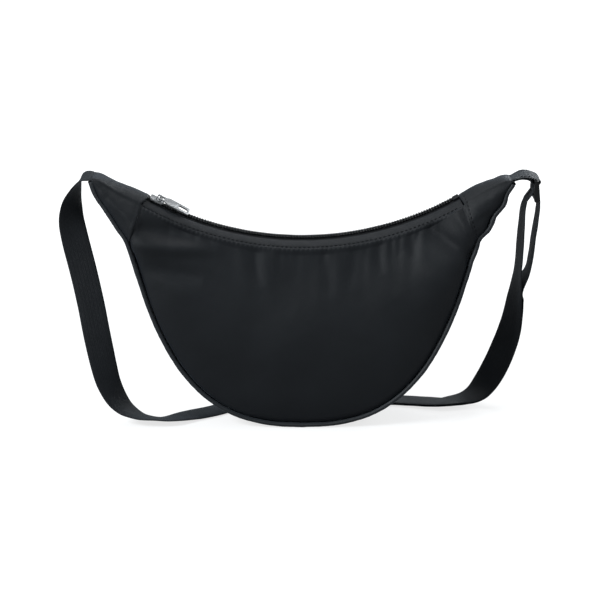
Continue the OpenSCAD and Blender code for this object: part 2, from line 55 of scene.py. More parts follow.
# Sizes of the part, in millimetres
mid_height, zip_radius, zip_span = 170.9, 284.0, 285.0
half_length, left_ear_height, right_ear_height = 190.0, 228.5, 226.5
half_base, belly, gusset_bow, cloth, piping_r = 32.0, 9.0, 4.0, 1.0, 2.0
zip_gap, facing_width, front_drop, back_drop, zip_lean = 11.2, 8.6, 6.2, 4.4, 12.0
tape_thick, tooth_pitch, tooth_height = 0.6, 2.6, 2.0
webbing_width, webbing_thick, bar_d, slot_height = 25.0, 1.4, 3.2, 4.8
seam_gap, run_gap, slider_length = 0.3, 0.4, 13.0
seam_share = 8 / 12
stitch_pitch, ear_stitch_in, adjuster_out, lowest_share = 4.1, 4.2, 20.7, 0.989
bottom_shares = np.array([[0, 0], [0.163, 0.0085], [0.325, 0.046], [0.463, 0.119], [0.576, 0.222],
    [0.661, 0.342], [0.728, 0.472], [0.780, 0.608], [0.832, 0.748], [0.876, 0.806], [0.926, 0.872],
    [0.974, 0.932], [1, 0.989]])
zip_centre = mid_height + zip_radius
seam_angle = math.degrees(math.asin(zip_span / 2 / zip_radius))
half_tip = webbing_width / 2 + seam_gap + piping_r
tip_height = 2 * webbing_thick + 2 * cloth + 4 * seam_gap
shoulder = zip_gap / 2 + facing_width
ear_lift, ear_arch = 2 * cloth, 0.9 * cloth
loop_r = bar_d / 2 + seam_gap + webbing_thick / 2
layer_step = webbing_thick + seam_gap
adjuster_x = half_length + adjuster_out
centre_bar_z = right_ear_height - webbing_thick - bar_d - slot_height


# Surfaces of the bag
def curve_at(points, position):
    points = np.asarray(points, float)
    position = np.asarray(position, float)
    last = len(points) - 1
    wide = np.vstack([2 * points[0] - points[1], points, 2 * points[-1] - points[-2]])
    i = np.clip(np.floor(position), 0, last - 1).astype(int)
    t = (position - i)[..., None]
    a, b, c, d = wide[i], wide[i + 1], wide[i + 2], wide[i + 3]
    return 0.5 * (2 * b + (c - a) * t + (2 * a - 5 * b + 4 * c - d) * t * t + (3 * b - a - 3 * c + d) * t ** 3)


def ear_height(s):
    return np.where(s < 0, left_ear_height, right_ear_height)


def bottom_at(s):
    s = np.asarray(s, float)
    share = curve_at(bottom_shares, np.abs(s) * (len(bottom_shares) - 1))
    tip = ear_height(s) - tip_height / 2
    return np.stack([np.where(s < 0, -1, 1) * share[..., 0] * half_length,
        piping_r + share[..., 1] / lowest_share * (tip - piping_r)], -1)


def bottom_direction(s):
    d = bottom_at(np.minimum(1, s + 0.005)) - bottom_at(np.maximum(-1, s - 0.005))
    return d / np.linalg.norm(d, axis=-1, keepdims=True)


def inner_bottom_at(s, reach=piping_r + seam_gap + cloth * 0.9):
    d = bottom_direction(s)
    lean = (np.sign(s) * 0.95 * np.clip((np.abs(s) - 0.93) / 0.07, 0, 1))[..., None]
    across = np.stack([-d[..., 1], d[..., 0]], -1) + lean * d
    return bottom_at(s) + reach * across / np.linalg.norm(across, axis=-1, keepdims=True)


def zip_line_at(s):
    a = np.radians(s / seam_share * seam_angle)
    return np.stack([zip_radius * np.sin(a), zip_centre - zip_radius * np.cos(a)], -1)


def ear_share(s):
    return np.clip((np.abs(s) - seam_share) / (1 - seam_share), 0, 1)


def top_at(s):
    s = np.asarray(s, float)
    side = np.where(s < 0, -1.0, 1.0)
    q = ear_share(s)[..., None]
    foot = zip_line_at(side * seam_share) + np.stack([side * cloth, ear_lift + 0 * side], -1)
    tip = np.stack([side * half_length, ear_height(s) + tip_height / 2], -1)
    ear = foot + (tip - foot) * q
    ear[..., 1] += (ear_arch * 4 * q * (1 - q))[..., 0]
    return np.where((np.abs(s) <= seam_share)[..., None], zip_line_at(s), ear)


def gusset_half(s):
    return half_tip + (half_base - half_tip) * np.cos(np.radians(90 * np.abs(s))) ** 1.3


def shoulder_half(s):
    q = ear_share(s)
    return shoulder + (half_tip - cloth / 2 - shoulder) * q


def shoulder_drop(s, side):
    q = ear_share(s)
    drop = front_drop if side < 0 else back_drop
    return drop + (cloth / 2 - drop) * q


def panel_depth(s, w):
    swell = belly * np.cos(np.radians(90 * np.abs(s))) ** 0.8 * np.sin(np.pi * np.clip(w, 0, 1) ** 1.25)
    return shoulder_half(s) + (gusset_half(s) - shoulder_half(s)) * np.sin(np.pi / 2 * w) + swell


def panel_point(s, w, side):
    top = top_at(s)
    bottom = inner_bottom_at(s)
    drop = shoulder_drop(s, side) + cloth / 2
    start = (drop / np.linalg.norm(bottom - top, axis=-1))
    t = (start + (1 - start) * w)[..., None]
    p = top + (bottom - top) * t
    return np.stack([p[..., 0], side * panel_depth(s, w), p[..., 1]], -1)


# Meshes
def unit(v):
    return v / np.maximum(np.linalg.norm(v, axis=-1, keepdims=True), 1e-9)


def grid_normals(p):
    du = np.gradient(p, axis=0)
    dv = np.gradient(p, axis=1)
    return unit(np.cross(du, dv))


def lengths_uv(p):
    du = np.linalg.norm(np.diff(p, axis=0), axis=-1).mean(1)
    dv = np.linalg.norm(np.diff(p, axis=1), axis=-1).mean(0)
    u = np.concatenate([[0], np.cumsum(du)])
    v = np.concatenate([[0], np.cumsum(dv)])
    return np.stack(np.meshgrid(u, v, indexing="ij"), -1)


def make_object(name, verts, faces, material, uv=None, smooth=True):
    mesh = bpy.data.meshes.new(name)
    mesh.from_pydata((np.asarray(verts, float).reshape(-1, 3) * MM).tolist(), [], faces)
    mesh.update()
    if uv is not None:
        layer = mesh.uv_layers.new(name="UVMap")
        flat = np.asarray(uv, float).reshape(-1, 2) * MM
        loops = np.empty(len(mesh.loops), dtype=np.int32)
        mesh.loops.foreach_get("vertex_index", loops)
        layer.data.foreach_set("uv", flat[loops].astype(np.float32).ravel())
    if smooth:
        mesh.shade_smooth()
    obj = bpy.data.objects.new(name, mesh)
    bpy.context.scene.collection.objects.link(obj)
    obj.data.materials.append(material)
    return obj


def grid_faces(n, m, loop_m=False):
    i = np.arange(n - 1)[:, None]
    j = np.arange(m if loop_m else m - 1)[None, :]
    j2 = (j + 1) % m
    a = i * m + j
    b = i * m + j2
    c = (i + 1) * m + j2
    d = (i + 1) * m + j
    return np.stack([a, b, c, d], -1).reshape(-1, 4).tolist()


def sheet(name, p, material, thickness=cloth, uv=None):
    """A sheet of cloth: the outer grid and its copy one thickness below, joined at the rim."""
    n, m = p.shape[:2]
    inner = p - thickness * grid_normals(p)
    uv = lengths_uv(p) if uv is None else uv
    faces = grid_faces(n, m)
    back = n * m
    under = [[back + k for k in reversed(f)] for f in faces]
    rim = [i * m for i in range(n)] + [(n - 1) * m + j for j in range(1, m)]
    rim += [i * m + m - 1 for i in range(n - 2, -1, -1)] + [j for j in range(m - 2, 0, -1)]
    border = [[a, b, b + back, a + back] for a, b in zip(rim, rim[1:] + rim[:1])]
    return make_object(name, np.concatenate([p.reshape(-1, 3), inner.reshape(-1, 3)]), faces + under + border,
        material, np.concatenate([uv.reshape(-1, 2), uv.reshape(-1, 2)]))


def tube(name, path, radius, sides, material):
    """A round tube with closed ends along a path; radius may vary along it."""
    path = np.asarray(path, float)
    along = unit(np.gradient(path, axis=0))
    out = unit(np.cross(along, np.broadcast_to([0.0, 1.0, 0.0], path.shape)))
    across = np.cross(out, along)
    radius = np.broadcast_to(np.asarray(radius, float), (len(path),))
    a = np.arange(sides) / sides * 2 * np.pi
    ring = radius[:, None, None] * (np.cos(a)[None, :, None] * out[:, None]
        + np.sin(a)[None, :, None] * across[:, None])
    p = path[:, None] + ring
    n = len(path)
    faces = grid_faces(n, sides, True)
    faces.append(list(range(sides - 1, -1, -1)))
    faces.append([(n - 1) * sides + k for k in range(sides)])
    length = np.concatenate([[0], np.cumsum(np.linalg.norm(np.diff(path, axis=0), axis=-1))])
    uv = np.stack(np.meshgrid(length, a * radius.mean(), indexing="ij"), -1)
    return make_object(name, p, faces, material, uv)


def merged(name, pieces, material):
    """One mesh from many (vertices, faces) pairs."""
    verts, faces, base = [], [], 0
    for v, f in pieces:
        verts.append(np.asarray(v).reshape(-1, 3))
        faces += [[base + k for k in face] for face in f]
        base += len(verts[-1])
    verts = np.concatenate(verts)
    return make_object(name, verts, faces, material, verts[:, [0, 2]])


# Materials
def nodes_of(name):
    mat = bpy.data.materials.new(name)
    mat.use_nodes = True
    tree = mat.node_tree
    shader = next(n for n in tree.nodes if n.type == "BSDF_PRINCIPLED")
    return mat, tree, shader


def link(tree, a, b):
    tree.links.new(a, b)


def math_node(tree, op, a, b=None, clamp=False):
    n = tree.nodes.new("ShaderNodeMath")
    n.operation = op
    n.use_clamp = clamp
    for k, v in enumerate((a, b)):
        if v is None:
            continue
        if isinstance(v, (int, float)):
            n.inputs[k].default_value = v
        else:
            link(tree, v, n.inputs[k])
    return n.outputs[0]


def scaled(tree, value, factor, offset):
    out = math_node(tree, "MULTIPLY_ADD", value, factor)
    out.node.inputs[2].default_value = offset
    return out


def weighed(tree, *terms):
    """The sum of (value, weight) pairs."""
    total = None
    for value, weight in terms:
        part = math_node(tree, "MULTIPLY", value, weight)
        total = part if total is None else math_node(tree, "ADD", total, part)
    return total


def noise_node(tree, vector, scale, detail=2.0, roughness=0.5):
    n = tree.nodes.new("ShaderNodeTexNoise")
    link(tree, vector, n.inputs["Vector"])
    n.inputs["Scale"].default_value = scale
    n.inputs["Detail"].default_value = detail
    n.inputs["Roughness"].default_value = roughness
    return n.outputs[0]


def ramp_mix(tree, factor, dark, light):
    n = tree.nodes.new("ShaderNodeValToRGB")
    link(tree, factor, n.inputs[0])
    n.color_ramp.elements[0].color = (*dark, 1)
    n.color_ramp.elements[1].color = (*light, 1)
    return n


def coordinate(tree, kind, scale=(1, 1, 1), rotation=(0, 0, 0)):
    c = tree.nodes.new("ShaderNodeTexCoord")
    m = tree.nodes.new("ShaderNodeMapping")
    m.inputs["Scale"].default_value = scale
    m.inputs["Rotation"].default_value = rotation
    link(tree, c.outputs[kind], m.inputs["Vector"])
    return m.outputs[0]


def stripes(tree, vector, axis, pitch):
    """Smooth stripes from 0 to 1 with the pitch in metres, along one axis of the coordinates."""
    s = tree.nodes.new("ShaderNodeSeparateXYZ")
    link(tree, vector, s.inputs[0])
    turn = math_node(tree, "MULTIPLY", s.outputs[axis], 2 * math.pi / pitch)
    wave = math_node(tree, "SINE", turn)
    return scaled(tree, wave, 0.5, 0.5)


def bump(tree, shader, height, strength, distance):
    b = tree.nodes.new("ShaderNodeBump")
    b.inputs["Strength"].default_value = strength
    b.inputs["Distance"].default_value = distance
    link(tree, height, b.inputs["Height"])
    link(tree, b.outputs[0], shader.inputs["Normal"])


def weave_cloth(name, dark, light, pitch=0.00045, rough=0.55, sheen=0.12, spec=0.35, turn=0.0):
    """Fine plain weave: threads over and under, slubs, and slow changes of tone."""
    mat, tree, shader = nodes_of(name)
    uv = coordinate(tree, "UV", rotation=(0, 0, turn))
    warp = stripes(tree, uv, 0, pitch)
    weft = stripes(tree, uv, 1, pitch)
    over = math_node(tree, "MULTIPLY", warp, weft)
    gaps = [math_node(tree, "SUBTRACT", 1.0, threads) for threads in (warp, weft)]
    under = math_node(tree, "MULTIPLY", *gaps)
    cell = math_node(tree, "ADD", over, under)
    obj = coordinate(tree, "Object")
    slow = noise_node(tree, obj, 22, 3, 0.55)
    slub = noise_node(tree, obj, 900, 2, 0.6)
    mixed = weighed(tree, (cell, 0.35), (slow, 0.75), (slub, 0.22))
    mixed = math_node(tree, "SUBTRACT", mixed, 0.28, True)
    ramp = ramp_mix(tree, mixed, dark, light)
    link(tree, ramp.outputs[0], shader.inputs["Base Color"])
    link(tree, scaled(tree, slub, 0.16, rough - 0.08), shader.inputs["Roughness"])
    shader.inputs["Specular IOR Level"].default_value = spec
    shader.inputs["Sheen Weight"].default_value = sheen
    shader.inputs["Sheen Roughness"].default_value = 0.45
    shader.inputs["Sheen Tint"].default_value = (0.72, 0.83, 1.0, 1)
    height = math_node(tree, "ADD", cell, math_node(tree, "MULTIPLY", slub, 0.8))
    bump(tree, shader, height, 0.35, 0.00012)
    return mat


def rib_webbing(name, dark, light, pitch=0.0011, rough=0.6, sheen=0.12, spec=0.35, lane=0.0016):
    """Webbing: ribs across the strap, offset in narrow columns."""
    mat, tree, shader = nodes_of(name)
    uv = coordinate(tree, "UV")
    sep = tree.nodes.new("ShaderNodeSeparateXYZ")
    link(tree, uv, sep.inputs[0])
    column = math_node(tree, "MULTIPLY", sep.outputs[1], 1 / lane)
    fold = math_node(tree, "PINGPONG", column, 1.0)
    shifted = math_node(tree, "MULTIPLY_ADD", fold, pitch * 0.5)
    link(tree, sep.outputs[0], shifted.node.inputs[2])
    ribs = math_node(tree, "SINE", math_node(tree, "MULTIPLY", shifted, 2 * math.pi / pitch))
    ribs = scaled(tree, ribs, 0.5, 0.5)
    lanes = stripes(tree, uv, 1, lane)
    obj = coordinate(tree, "Object")
    slow = noise_node(tree, obj, 30, 3)
    fuzz = noise_node(tree, obj, 1400, 2, 0.65)
    mixed = weighed(tree, (ribs, 0.5), (lanes, 0.18), (slow, 0.45), (fuzz, 0.25))
    mixed = math_node(tree, "SUBTRACT", mixed, 0.3, True)
    ramp = ramp_mix(tree, mixed, dark, light)
    link(tree, ramp.outputs[0], shader.inputs["Base Color"])
    shader.inputs["Roughness"].default_value = rough
    shader.inputs["Specular IOR Level"].default_value = spec
    shader.inputs["Sheen Weight"].default_value = sheen
    shader.inputs["Sheen Roughness"].default_value = 0.5
    shader.inputs["Sheen Tint"].default_value = (0.75, 0.85, 1.0, 1)
    height = math_node(tree, "ADD", ribs, math_node(tree, "MULTIPLY", lanes, 0.35))
    height = math_node(tree, "ADD", height, math_node(tree, "MULTIPLY", fuzz, 0.4))
    bump(tree, shader, height, 0.55, 0.0003)
    return mat


def moulded(name, dark, light, rough=0.4, coarse=260.0, spec=0.5):
    mat, tree, shader = nodes_of(name)
    obj = coordinate(tree, "Object")
    grain = noise_node(tree, obj, 2600, 2, 0.6)
    slow = noise_node(tree, obj, coarse, 3)
    ramp = ramp_mix(tree, slow, dark, light)
    link(tree, ramp.outputs[0], shader.inputs["Base Color"])
    link(tree, scaled(tree, slow, 0.2, rough - 0.1), shader.inputs["Roughness"])
    shader.inputs["Specular IOR Level"].default_value = spec
    bump(tree, shader, grain, 0.25, 0.00005)
    return mat


def metal(name, dark, light, rough=0.3):
    mat, tree, shader = nodes_of(name)
    obj = coordinate(tree, "Object", scale=(60, 900, 900))
    brushed = noise_node(tree, obj, 1.0, 3, 0.6)
    slow = noise_node(tree, coordinate(tree, "Object"), 240, 3)
    ramp = ramp_mix(tree, slow, dark, light)
    link(tree, ramp.outputs[0], shader.inputs["Base Color"])
    shader.inputs["Metallic"].default_value = 1.0
    link(tree, scaled(tree, brushed, 0.24, rough - 0.12), shader.inputs["Roughness"])
    bump(tree, shader, brushed, 0.12, 0.00004)
    return mat


SHELL = weave_cloth("shell_cloth", (0.0022, 0.0030, 0.0042), (0.0070, 0.0088, 0.0112), spec=0.24, sheen=0.06)
# Ears: the shell's nylon coloured lighter, painted light where the ear tops face the lamps
EAR_PAINTED_LIGHT = weave_cloth("ear_cloth_painted_light", (0.0026, 0.0034, 0.0046), (0.0080, 0.0100, 0.0124), spec=0.24, sheen=0.07)
# Gusset: the shell's nylon coloured darker, painted shade on the band facing down and sideways
GUSSET_PAINTED_SHADE = weave_cloth("gusset_cloth_painted_shade", (0.0015, 0.0021, 0.0030), (0.0050, 0.0064, 0.0082), spec=0.22, sheen=0.05)
# Piping: the shell's nylon coloured lighter, a painted highlight along the round cord
PIPING_PAINTED_HIGHLIGHT = weave_cloth("piping_cloth_painted_highlight", (0.0050, 0.0064, 0.0082), (0.0150, 0.0182, 0.0215),
    turn=0.785, spec=0.38, sheen=0.12)
LINING = weave_cloth("lining_cloth", (0.020, 0.022, 0.025), (0.040, 0.043, 0.048), rough=0.7, spec=0.25)
TAPE = rib_webbing("zip_tape", (0.0012, 0.0014, 0.0018), (0.0050, 0.0056, 0.0064),
    pitch=0.0007, spec=0.15, sheen=0.03)
STRAP = rib_webbing("strap_webbing", (0.0020, 0.0027, 0.0036), (0.0098, 0.0120, 0.0148), spec=0.22, sheen=0.05)
# Tab: the strap's webbing coloured lighter, painted light on the tab's lit top face
TAB_PAINTED_LIGHT = rib_webbing("tab_webbing", (0.0040, 0.0048, 0.0058), (0.0165, 0.0185, 0.0210), spec=0.28, sheen=0.08)
THREAD = rib_webbing("sewing_thread", (0.0006, 0.0007, 0.0010), (0.0022, 0.0026, 0.0032),
    pitch=0.0005, spec=0.15, sheen=0.02)
COIL = moulded("zip_coil", (0.0016, 0.0017, 0.0020), (0.0052, 0.0056, 0.0062), rough=0.35, spec=0.35)
PLASTIC = moulded("adjuster_plastic", (0.0022, 0.0023, 0.0026), (0.0060, 0.0062, 0.0066), rough=0.42, spec=0.3)
ENAMEL = moulded("stop_enamel", (0.0022, 0.0026, 0.0032), (0.0070, 0.0080, 0.0092), rough=0.45, spec=0.25)
STEEL = metal("zip_steel", (0.24, 0.245, 0.25), (0.42, 0.425, 0.43), rough=0.40)


# Camera, stage and light
scene = bpy.context.scene
scene.view_settings.view_transform = "Standard"
EL, AZ, DIST, SCALE = math.radians(15.0), 0.0, 1.8, 0.00092
direction = np.array([math.sin(AZ) * math.cos(EL), -math.cos(AZ) * math.cos(EL), math.sin(EL)])
target = np.array([-0.0021, 0.0, 0.1124])
cam_data = bpy.data.cameras.new("camera")
cam = bpy.data.objects.new("camera", cam_data)
scene.collection.objects.link(cam)
cam.location = target + direction * DIST
right = np.cross([0, 0, 1.0], direction)
right /= np.linalg.norm(right)
up = np.cross(direction, right)
cam.rotation_euler = Matrix(np.array([right, up, direction]).T.tolist()).to_euler()
cam_data.sensor_width = 36
cam_data.lens = 36 * DIST / (600 * SCALE)
cam_data.clip_end = 60
scene.camera = cam

world = bpy.data.worlds.new("world")
scene.world = world
world.use_nodes = True
wt = world.node_tree
wt.nodes.clear()
w_out = wt.nodes.new("ShaderNodeOutputWorld")
w_mix = wt.nodes.new("ShaderNodeMixShader")
w_light = wt.nodes.new("ShaderNodeBackground")
w_show = wt.nodes.new("ShaderNodeBackground")
w_light.inputs[0].default_value = (0.86, 0.94, 1.0, 1)
w_light.inputs[1].default_value = 0.34
w_show.inputs[0].default_value = (1, 1, 1, 1)
w_show.inputs[1].default_value = 1.0
w_path = wt.nodes.new("ShaderNodeLightPath")
w_seen = wt.nodes.new("ShaderNodeMath")
w_seen.operation = "MAXIMUM"
wt.links.new(w_path.outputs["Is Camera Ray"], w_seen.inputs[0])
wt.links.new(w_path.outputs["Is Transmission Ray"], w_seen.inputs[1])
wt.links.new(w_seen.outputs[0], w_mix.inputs[0])
wt.links.new(w_light.outputs[0], w_mix.inputs[1])
wt.links.new(w_show.outputs[0], w_mix.inputs[2])
wt.links.new(w_mix.outputs[0], w_out.inputs[0])

floor_mat = bpy.data.materials.new("floor")
floor_mat.use_nodes = True
ft = floor_mat.node_tree
ft.nodes.clear()
f_out = ft.nodes.new("ShaderNodeOutputMaterial")
f_add = ft.nodes.new("ShaderNodeAddShader")
f_diff = ft.nodes.new("ShaderNodeBsdfDiffuse")
f_diff.inputs[0].default_value = (0.32, 0.32, 0.32, 1)
f_emit = ft.nodes.new("ShaderNodeEmission")
f_emit.inputs[0].default_value = (1, 1, 1, 1)
f_path = ft.nodes.new("ShaderNodeLightPath")
f_mul = ft.nodes.new("ShaderNodeMath")
f_mul.operation = "MULTIPLY"
f_place = ft.nodes.new("ShaderNodeNewGeometry")
f_far = ft.nodes.new("ShaderNodeVectorMath")
f_far.operation = "LENGTH"
ft.links.new(f_place.outputs["Position"], f_far.inputs[0])
f_rise = ft.nodes.new("ShaderNodeMapRange")
f_rise.interpolation_type = "SMOOTHSTEP"
f_rise.inputs["From Min"].default_value, f_rise.inputs["From Max"].default_value = 0.25, 1.3
f_rise.inputs["To Min"].default_value, f_rise.inputs["To Max"].default_value = 0.74, 1.0
ft.links.new(f_far.outputs["Value"], f_rise.inputs["Value"])
ft.links.new(f_rise.outputs[0], f_mul.inputs[1])
ft.links.new(f_path.outputs["Is Camera Ray"], f_mul.inputs[0])
ft.links.new(f_mul.outputs[0], f_emit.inputs[1])
ft.links.new(f_diff.outputs[0], f_add.inputs[0])
ft.links.new(f_emit.outputs[0], f_add.inputs[1])
ft.links.new(f_add.outputs[0], f_out.inputs[0])
floor = make_object("floor", [[-9000, -9000, -0.2], [9000, -9000, -0.2], [9000, 9000, -0.2], [-9000, 9000, -0.2]],
    [[0, 1, 2, 3]], floor_mat, smooth=False)


def lamp(name, place, aim, size, power, color=(1, 1, 1)):
    data = bpy.data.lights.new(name, "AREA")
    data.shape = "RECTANGLE"
    data.size, data.size_y = size
    data.energy = power
    data.color = color
    obj = bpy.data.objects.new(name, data)
    scene.collection.objects.link(obj)
    obj.location = place
    back = np.array(place, float) - np.array(aim, float)
    back /= np.linalg.norm(back)
    side = np.cross([0, 0, 1.0], back)
    side /= np.linalg.norm(side)
    obj.rotation_euler = Matrix(np.array([side, np.cross(back, side), back]).T.tolist()).to_euler()
    return obj


lamp("key", (-1.4, -0.85, 1.15), (-0.02, 0, 0.12), (0.7, 0.6), 36, (0.93, 0.97, 1.0))
lamp("fill", (1.5, -1.5, 0.9), (0.0, 0, 0.12), (1.2, 1.0), 7, (0.90, 0.95, 1.0))
lamp("top", (0.1, 0.35, 1.7), (0, 0, 0.1), (1.4, 1.0), 14, (1, 1, 1))
lamp("back", (1.2, 1.5, 1.0), (0, 0, 0.12), (1.0, 0.8), 16, (0.95, 0.98, 1.0))


# Relief of the cloth
PIXEL, MIDDLE_U, FLOOR_V = 0.92, 303, 418
RISE_SEEN, DEPTH_SEEN = 0.9659, 0.2588


def seen_at(p):
    """Where a point lies in the photograph's frame, in pixels: used to place folds."""
    v = FLOOR_V - (p[..., 2] * RISE_SEEN + p[..., 1] * DEPTH_SEEN) / PIXEL
    return MIDDLE_U + p[..., 0] / PIXEL, v


def bump_line(u, v, a, b, width, height, skew=0.0):
    """A long soft ridge (or fold, where height is negative) from a to b, thinning out to its ends."""
    a, b = np.array(a, float), np.array(b, float)
    d = b - a
    length = np.hypot(*d)
    d /= length
    along = ((u - a[0]) * d[0] + (v - a[1]) * d[1]) / length
    across = -(u - a[0]) * d[1] + (v - a[1]) * d[0]
    across = across - skew * np.sin(np.pi * np.clip(along, 0, 1))
    ends = np.exp(-(np.maximum(0, np.maximum(-along, along - 1)) * length / (width * 1.6)) ** 2)
    body = np.where((along > 0) & (along < 1), np.sin(np.pi * np.clip(along * 0.86 + 0.07, 0, 1)), 0.22)
    return height * body * ends * np.exp(-(across / width) ** 2)


def soft_noise(u, v, size, seed):
    """Smooth repeatable noise from a few sines."""
    rng = np.random.default_rng(seed)
    out = 0
    for k in range(7):
        a = rng.uniform(0, 2 * np.pi)
        f = 2 * np.pi / (size * rng.uniform(0.7, 1.6))
        out = out + np.sin((u * np.cos(a) + v * np.sin(a)) * f + rng.uniform(0, 6.28))
    return out / 7 ** 0.5


def gathers(u, below, centres, seed, width=4.2, reach=30.0, height=-0.9):
    """Puckers that hang from a row of stitches: below is the distance under the row, in pixels."""
    rng = np.random.default_rng(seed)
    out = 0
    for c in centres:
        w = width * rng.uniform(0.7, 1.35)
        r = reach * rng.uniform(0.55, 1.5)
        lean = rng.uniform(-0.16, 0.16)
        h = height * rng.uniform(0.5, 1.25)
        out = out + h * np.exp(-((u - c - lean * below) / (w * (1 + below / 60))) ** 2) * np.exp(-(below / r) ** 1.6)
    return out


def zip_drop(u):
    """Height in pixels of the facing's lower edge, below which the panel starts."""
    x = (u - MIDDLE_U) * PIXEL
    z = zip_centre - np.sqrt(np.maximum(1, zip_radius ** 2 - x ** 2))
    return FLOOR_V - ((z - front_drop) * RISE_SEEN - shoulder * DEPTH_SEEN) / PIXEL


def front_relief(p, w):
    u, v = seen_at(p)
    below = np.maximum(0, v - zip_drop(u))
    r = 0
    r = r + gathers(u, below, [228, 236, 247, 254, 262, 270, 281, 289, 299, 308, 317, 325, 333, 343, 351, 358, 367,
        374, 381, 391, 399, 409, 418, 428], 4)
    r = r + gathers(u, below, [173, 186, 198, 211, 438, 446], 8, width=3.6, reach=16, height=-0.5)
    for fold in (((256, 244), (263, 288), 7.5, -1.1, 3), ((325, 246), (328, 300), 7.0, -0.9, -2),
            ((356, 245), (349, 292), 7.5, -1.0), ((377, 238), (384, 276), 6.0, -0.9, 2),
            ((410, 232), (414, 262), 5.5, -0.8), ((127, 228), (204, 239), 8.5, -2.9, -2),
            ((130, 246), (216, 250), 6.5, 2.3, 2), ((146, 266), (206, 280), 9.0, -2.4),
            ((160, 290), (204, 370), 17.0, 1.5), ((222, 392), (345, 404), 15.0, 1.2, 4),
            ((421, 222), (474, 262), 8.5, -3.0, 2), ((446, 206), (474, 240), 7.0, 2.2),
            ((404, 250), (452, 300), 12.0, 1.7), ((392, 300), (430, 350), 18.0, -0.9),
            ((226, 268), (300, 306), 22.0, -0.8)):
        r = r + bump_line(u, v, *fold)
    r = r + 0.30 * soft_noise(u, v, 74, 3) + 0.05 * soft_noise(u, v, 30, 5)
    rim = np.clip(w / 0.035, 0, 1) * np.clip((1 - w) / 0.03, 0, 1)
    return 1.35 * r * rim


def back_relief(p, w):
    u, v = seen_at(p * [1, -1, 1])
    below = np.maximum(0, v - zip_drop(u))
    r = gathers(u, below, [231, 240, 251, 263, 272, 284, 296, 307, 319, 331, 340, 352, 364, 372, 385, 396, 407,
        420], 14)
    for fold in (((262, 246), (255, 292), 7.5, -1.1), ((340, 246), (346, 300), 7.0, -1.0),
            ((127, 226), (196, 240), 8.0, -2.0, -3), ((134, 248), (206, 256), 7.0, 1.4),
            ((415, 226), (476, 258), 9.0, -2.2), ((400, 252), (462, 272), 9.0, 1.3),
            ((210, 330), (380, 352), 26.0, 1.0, 8)):
        r = r + bump_line(u, v, *fold)
    r = r + 0.36 * soft_noise(u, v, 74, 13) + 0.06 * soft_noise(u, v, 30, 15)
    rim = np.clip(w / 0.035, 0, 1) * np.clip((1 - w) / 0.03, 0, 1)
    return r * rim


# The two panels
def edge_roll(distance, width, depth):
    """How far cloth turns inwards within width of an edge."""
    return -depth * np.clip(1 - distance / width, 0, 1) ** 2


seam_s = seam_share + 1.8 / half_length
N_S, N_W = ((420, 220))


def panel_grid(side):
    s1 = np.linspace(-seam_s, seam_s, N_S)
    w1 = np.linspace(0, 1, N_W)
    s, w = np.meshgrid(s1, w1, indexing="ij")
    base = panel_point(s, w, side)
    relief = (front_relief if side < 0 else back_relief)(base, w)
    span = np.linalg.norm(inner_bottom_at(s) - top_at(s), axis=-1)
    to_seam = (seam_s - np.abs(s)) * half_length
    relief = relief * np.clip(to_seam / 6, 0.25, 1)
    relief = relief + edge_roll(to_seam - 1.6, 2.6, 0.35) + edge_roll(w * span, 2.0, 0.8)
    relief = relief + edge_roll((1 - w) * span, 6.0, 1.5)
    stitch = 0.22 * np.cos(2 * np.pi * np.degrees(np.abs(s) / seam_share * np.radians(seam_angle)) * np.pi / 180
        * zip_radius / stitch_pitch) * np.exp(-((w * span - 0.6) / 1.6) ** 2)
    outward = unit(np.cross(np.gradient(base, axis=0), np.gradient(base, axis=1))) * (1 if side < 0 else -1)
    outward = np.where((outward[..., 1:2] * side) < 0, -outward, outward)
    p = base + outward * (relief + stitch)[..., None]
    if side > 0:
        p = p[:, ::-1]
    return p


front = sheet("front_panel_cloth", panel_grid(-1), SHELL)
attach(front, "bag")
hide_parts("front_panel")
back = sheet("back_panel_cloth", panel_grid(1), SHELL)
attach(back, "bag")
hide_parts("back_panel")


# Ears
def ear_line(s):
    side = np.where(s < 0, -1.0, 1.0)
    q = ((np.abs(s) - seam_share) / (1 - seam_share))[..., None]
    foot = zip_line_at(side * seam_share) + np.stack([side * cloth, ear_lift + 0 * side], -1)
    tip = np.stack([side * half_length, ear_height(s) + tip_height / 2], -1)
    line = foot + (tip - foot) * q
    arch = np.where(s < 0, -0.9, 2.4)
    line[..., 1] += arch * 4 * (q * (1 - q))[..., 0] - 3.4 * np.clip((q[..., 0] - 0.80) / 0.20, 0, 1) ** 2
    line[..., 0] -= side * 1.2 * np.clip((q[..., 0] - 0.80) / 0.20, 0, 1) ** 2
    return line


def ear_cap_point(s, y_share):
    top = ear_line(s)
    drop = np.where(y_share < 0, shoulder_drop(s, -1), shoulder_drop(s, 1)) * y_share * y_share
    down = unit(bottom_at(s) - top)
    x, z = top[..., 0] + down[..., 0] * drop, top[..., 1] + down[..., 1] * drop
    return np.stack([x, y_share * shoulder_half(s), z], -1)


